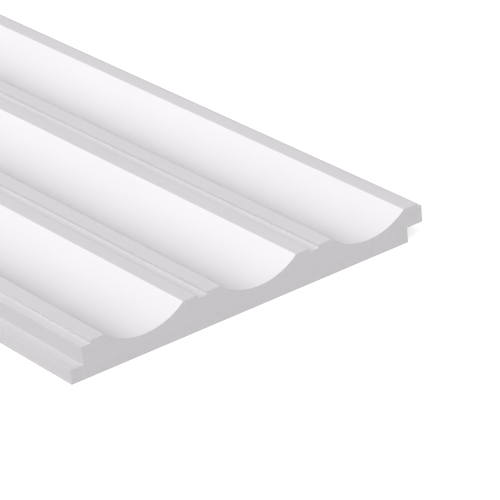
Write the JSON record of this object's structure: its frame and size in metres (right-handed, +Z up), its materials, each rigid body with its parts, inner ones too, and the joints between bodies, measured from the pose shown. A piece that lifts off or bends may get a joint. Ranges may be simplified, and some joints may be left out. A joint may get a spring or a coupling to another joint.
{
  "type": "fluted wall panel",
  "caption": "Paintable wall panel moulded in one length: concave flutes, grooved ridges between them, flat back, and a tongue and a lip that lap with the next panel.",
  "frame": {"origin": "middle of the panel's box, on the flat back that lies on the floor", "axes": "+Z up out of the fluted face, Y along the flutes, +X from the tongue edge to the lip edge"},
  "size_m": [0.25, 2, 0.022],
  "materials": {
    "primed_polymer": "smooth matte white primer, ready for paint"
  },
  "bodies": {
    "root": {"wall_panel": "primed_polymer"}
  },
  "joints": []
}
